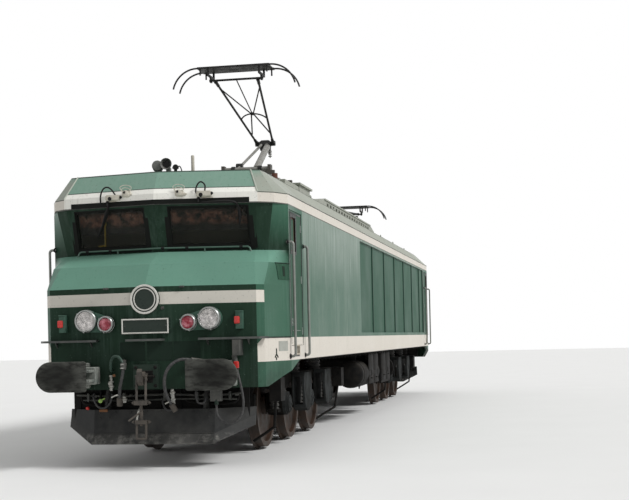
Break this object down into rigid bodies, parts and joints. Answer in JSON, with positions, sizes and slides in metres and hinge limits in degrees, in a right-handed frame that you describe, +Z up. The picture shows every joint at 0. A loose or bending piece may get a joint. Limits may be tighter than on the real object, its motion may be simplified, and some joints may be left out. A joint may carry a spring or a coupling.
{
  "type": "electric locomotive",
  "caption": "Two-cab electric locomotive on two bogies, with roof pantographs, hinged cab doors, buffers, screw couplings and snowploughs.",
  "frame": {"origin": "middle of the locomotive's length and width, on the floor at the tips of the wheel flanges, 30 mm below the wheel treads", "axes": "+X towards the front cab, +Y to its left, +Z up"},
  "size_m": [20.19, 3.122, 5.5355],
  "materials": {
    "black_steel": "matt",
    "body_green": "weathered satin",
    "panel_green": "satin",
    "nose_green": "satin",
    "brow_white": "satin",
    "door_green": "weathered satin",
    "cab_glass": "polished",
    "buffer_black": "greased",
    "worn_steel": "worn",
    "plough_grey": "worn",
    "cab_cream": "matt",
    "machine_grey": "matt",
    "desk_grey": "satin",
    "seat_black": "worn",
    "lamp_green": "satin",
    "lamp_glass": "ribbed clear and red",
    "plate_black": "satin with white rims",
    "step_grey": "worn",
    "rail_steel": "worn",
    "pipe_grey": "worn",
    "horn_grey": "matt",
    "roof_grey": "weathered matt",
    "arm_grey": "weathered",
    "arm_black": "matt",
    "strip_black": "worn",
    "bogie_grey": "dusty matt",
    "spring_black": "matt",
    "wheel_steel": "rusty with bright tread",
    "hose_rubber": "matt"
  },
  "bodies": {
    "root": {"brake_hose_front": "hose_rubber", "brake_hose_rear": "hose_rubber", "buffer_beams": "black_steel", "buffers": "buffer_black", "bulkheads": "cab_cream", "cab_desks": "desk_grey", "cab_roofs": "brow_white", "cab_seats": "seat_black", "cab_shells": "nose_green", "draw_gear": "worn_steel", "end_fittings": "pipe_grey", "equipment_block": "machine_grey", "footboards": "step_grey", "handrails": "rail_steel", "headlamps": "lamp_green", "horns": "horn_grey", "hose_ends": "worn_steel", "jumper_cable_front": "hose_rubber", "jumper_cable_rear": "hose_rubber", "lamp_lenses": "lamp_glass", "main_hose_front": "hose_rubber", "main_hose_rear": "hose_rubber", "main_roof": "roof_grey", "nose_plates": "plate_black", "pantograph_bases": "arm_grey", "roof_gear": "roof_grey", "side_panels": "panel_green", "side_walls": "body_green", "snowploughs": "plough_grey", "underfloor_gear": "black_steel", "underframe": "black_steel", "windscreens": "cab_glass"},
    "bogie_front": {"bogie_frame_front": "bogie_grey", "bogie_axleboxes_front": "bogie_grey", "bogie_springs_front": "spring_black", "bogie_motor_front": "machine_grey", "bogie_rigging_front": "black_steel"},
    "pantograph_lower_front": {"pantograph_lower_front": "arm_grey"},
    "pantograph_upper_front": {"pantograph_upper_front": "arm_black"},
    "pantograph_head_front": {"pantograph_head_front": "strip_black"},
    "bogie_rear": {"bogie_frame_rear": "bogie_grey", "bogie_axleboxes_rear": "bogie_grey", "bogie_springs_rear": "spring_black", "bogie_motor_rear": "machine_grey", "bogie_rigging_rear": "black_steel"},
    "pantograph_lower_rear": {"pantograph_lower_rear": "arm_grey"},
    "pantograph_upper_rear": {"pantograph_upper_rear": "arm_black"},
    "pantograph_head_rear": {"pantograph_head_rear": "strip_black"},
    "wheelset_front_1": {"wheelset_front_1": "wheel_steel"},
    "wheelset_front_2": {"wheelset_front_2": "wheel_steel"},
    "wheelset_front_3": {"wheelset_front_3": "wheel_steel"},
    "wheelset_rear_1": {"wheelset_rear_1": "wheel_steel"},
    "wheelset_rear_2": {"wheelset_rear_2": "wheel_steel"},
    "wheelset_rear_3": {"wheelset_rear_3": "wheel_steel"},
    "door_front_left": {"door_front_left": "door_green"},
    "door_front_right": {"door_front_right": "door_green"},
    "door_rear_left": {"door_rear_left": "door_green"},
    "door_rear_right": {"door_rear_right": "door_green"}
  },
  "joints": [
    {"name": "bogie_front_swivel", "type": "hinge", "parent": "root", "child": "bogie_front", "pos_m": [5.462, 0, 1.09], "axis": [0, 0, 1], "range_deg": [-4, 4]},
    {"name": "wheelset_front_1_roll", "type": "hinge", "parent": "bogie_front", "child": "wheelset_front_1", "pos_m": [7.07, 0, 0.6], "axis": [0, 1, 0], "continuous": true},
    {"name": "wheelset_front_2_roll", "type": "hinge", "parent": "bogie_front", "child": "wheelset_front_2", "pos_m": [5.462, 0, 0.6], "axis": [0, 1, 0], "continuous": true},
    {"name": "wheelset_front_3_roll", "type": "hinge", "parent": "bogie_front", "child": "wheelset_front_3", "pos_m": [3.854, 0, 0.6], "axis": [0, 1, 0], "continuous": true},
    {"name": "bogie_rear_swivel", "type": "hinge", "parent": "root", "child": "bogie_rear", "pos_m": [-5.462, 0, 1.09], "axis": [0, 0, 1], "range_deg": [-4, 4]},
    {"name": "wheelset_rear_1_roll", "type": "hinge", "parent": "bogie_rear", "child": "wheelset_rear_1", "pos_m": [-7.07, 0, 0.6], "axis": [0, 1, 0], "continuous": true},
    {"name": "wheelset_rear_2_roll", "type": "hinge", "parent": "bogie_rear", "child": "wheelset_rear_2", "pos_m": [-5.462, 0, 0.6], "axis": [0, 1, 0], "continuous": true},
    {"name": "wheelset_rear_3_roll", "type": "hinge", "parent": "bogie_rear", "child": "wheelset_rear_3", "pos_m": [-3.854, 0, 0.6], "axis": [0, 1, 0], "continuous": true},
    {"name": "pantograph_front_lower", "type": "hinge", "parent": "root", "child": "pantograph_lower_front", "pos_m": [4.45, 0, 4.08], "axis": [0, 1, 0], "range_deg": [-20.8, 24.7]},
    {"name": "pantograph_front_upper", "type": "hinge", "parent": "pantograph_lower_front", "child": "pantograph_upper_front", "pos_m": [3.08152, 0, 4.66936], "axis": [0, 1, 0], "range_deg": [-45.8, 38.58]},
    {"name": "pantograph_front_head", "type": "hinge", "parent": "pantograph_upper_front", "child": "pantograph_head_front", "pos_m": [5.00085, 0, 5.36056], "axis": [0, 1, 0], "range_deg": [-17.78, 21.09]},
    {"name": "pantograph_rear_lower", "type": "hinge", "parent": "root", "child": "pantograph_lower_rear", "pos_m": [-4.45, 0, 4.08], "axis": [0, -1, 0], "range_deg": [0, 45.5]},
    {"name": "pantograph_rear_upper", "type": "hinge", "parent": "pantograph_lower_rear", "child": "pantograph_upper_rear", "pos_m": [-2.96142, 0, 4.14499], "axis": [0, -1, 0], "range_deg": [-84.27, 0.1]},
    {"name": "pantograph_rear_head", "type": "hinge", "parent": "pantograph_upper_rear", "child": "pantograph_head_rear", "pos_m": [-5.00002, 0, 4.22064], "axis": [0, -1, 0], "range_deg": [-0.1, 38.77]},
    {"name": "door_front_left_swing", "type": "hinge", "parent": "root", "child": "door_front_left", "pos_m": [7.8385, 1.4605, 2.2], "axis": [0, 0, -1], "range_deg": [0, 85]},
    {"name": "door_front_right_swing", "type": "hinge", "parent": "root", "child": "door_front_right", "pos_m": [7.8385, -1.4605, 2.2], "axis": [0, 0, 1], "range_deg": [0, 85]},
    {"name": "door_rear_right_swing", "type": "hinge", "parent": "root", "child": "door_rear_right", "pos_m": [-7.8385, -1.4605, 2.2], "axis": [0, 0, -1], "range_deg": [0, 85]},
    {"name": "door_rear_left_swing", "type": "hinge", "parent": "root", "child": "door_rear_left", "pos_m": [-7.8385, 1.4605, 2.2], "axis": [0, 0, 1], "range_deg": [0, 85]}
  ],
  "couplings": [
    {"joint": "pantograph_front_upper", "follows": "pantograph_front_lower", "ratio": -1.85},
    {"joint": "pantograph_front_head", "follows": "pantograph_front_lower", "ratio": 0.85},
    {"joint": "pantograph_rear_upper", "follows": "pantograph_rear_lower", "ratio": -1.85},
    {"joint": "pantograph_rear_head", "follows": "pantograph_rear_lower", "ratio": 0.85}
  ]
}
